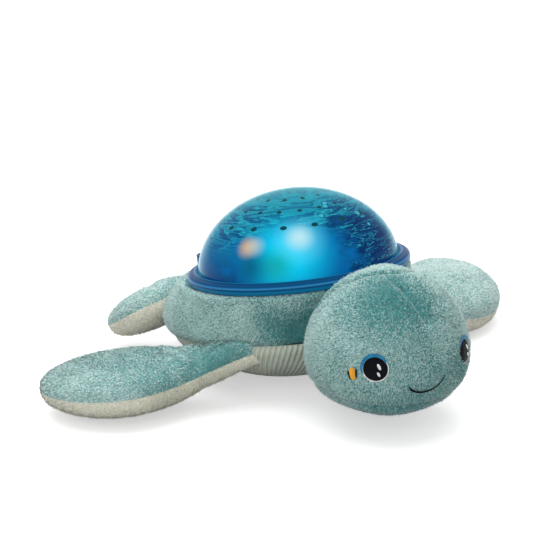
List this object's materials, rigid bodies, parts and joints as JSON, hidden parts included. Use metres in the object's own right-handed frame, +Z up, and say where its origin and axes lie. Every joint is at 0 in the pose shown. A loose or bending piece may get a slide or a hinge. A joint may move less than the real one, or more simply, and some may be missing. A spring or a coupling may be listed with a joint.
{
  "type": "night light projector",
  "caption": "Plush sea turtle night light whose round domed projector sits in a pocket in its back and lifts out, with a turning ripple lens, push buttons and battery bay.",
  "frame": {"origin": "on the floor at the middle of the belly's flat rest face", "axes": "+X to the turtle's left flipper, -Y to its head, +Z up"},
  "size_m": [0.3317, 0.2437, 0.1174],
  "materials": {
    "teal_plush": "short-pile teal velour",
    "cream_plush": "cream ribbed velour",
    "lining_cloth": "woven lining",
    "elastic": "covered elastic cord",
    "dome_clear": "tinted clear polycarbonate",
    "rim_plastic": "tinted gloss plastic",
    "gasket": "foam rubber",
    "picture_film": "printed clear shell",
    "gear_plastic": "acetal",
    "pinion_brass": "machined",
    "clear_lens": "clear acrylic",
    "white_plastic": "moulded",
    "housing_plastic": "moulded",
    "board": "solder mask",
    "led": "epoxy",
    "black_part": "moulded",
    "steel": "plated",
    "cell_wrap": "shrink sleeve"
  },
  "bodies": {
    "plush": {"front_flipper_left_top": "teal_plush", "front_flipper_left_under": "cream_plush", "front_flipper_right_top": "teal_plush", "front_flipper_right_under": "cream_plush", "rear_flipper_left_top": "teal_plush", "rear_flipper_left_under": "cream_plush", "rear_flipper_right_top": "teal_plush", "rear_flipper_right_under": "cream_plush", "body_cover": "teal_plush", "belly_panel": "cream_plush", "head": "teal_plush", "pocket_lining": "lining_cloth", "opening_elastic": "elastic"},
    "projector": {"dome_shell": "dome_clear", "dome_gasket": "gasket", "rim_bezel": "rim_plastic", "image_dome": "picture_film", "idler_pin": "steel", "motor": "steel", "chassis_deck": "white_plastic", "deck_screws": "steel", "led_board": "board", "led_emitters": "led", "collimator_lens": "clear_lens", "base_tub": "housing_plastic", "battery_door": "housing_plastic", "door_screw": "steel", "battery_cells": "cell_wrap", "battery_contacts": "steel", "speaker": "black_part", "main_board": "board", "switch_board": "board", "tact_switches": "black_part", "panel_cover": "housing_plastic", "panel_screws": "steel"},
    "wave_disc": {"wave_gear": "gear_plastic", "wave_lens": "clear_lens"},
    "idler": {"idler_gear": "gear_plastic"},
    "pinion": {"motor_pinion": "pinion_brass"},
    "light_button": {"button_light": "white_plastic"},
    "sound_button": {"button_sound": "white_plastic"},
    "timer_button": {"button_timer": "white_plastic"}
  },
  "joints": [
    {"name": "module_lift", "type": "slide", "parent": "plush", "child": "projector", "axis": [0, 0.1908, 0.9816], "range_m": [0, 0.06]},
    {"name": "wave_disc_spin", "type": "hinge", "parent": "projector", "child": "wave_disc", "pos_m": [0, -0.01795, 0.06409], "axis": [0, 0.1908, 0.9816], "continuous": true},
    {"name": "idler_spin", "type": "hinge", "parent": "projector", "child": "idler", "pos_m": [0.03685, -0.01834, 0.06213], "axis": [0, 0.1908, 0.9816], "continuous": true},
    {"name": "pinion_spin", "type": "hinge", "parent": "projector", "child": "pinion", "pos_m": [0.03685, 0.00018, 0.05649], "axis": [0, 0.1908, 0.9816], "continuous": true},
    {"name": "light_press", "type": "slide", "parent": "projector", "child": "light_button", "axis": [0, -0.1908, -0.9816], "range_m": [0, 0.001], "stiffness_N_per_m": 600},
    {"name": "sound_press", "type": "slide", "parent": "projector", "child": "sound_button", "axis": [0, -0.1908, -0.9816], "range_m": [0, 0.001], "stiffness_N_per_m": 600},
    {"name": "timer_press", "type": "slide", "parent": "projector", "child": "timer_button", "axis": [0, -0.1908, -0.9816], "range_m": [0, 0.001], "stiffness_N_per_m": 600}
  ],
  "couplings": [
    {"joint": "idler_spin", "follows": "wave_disc_spin", "ratio": -6.6667},
    {"joint": "pinion_spin", "follows": "wave_disc_spin", "ratio": 20}
  ]
}
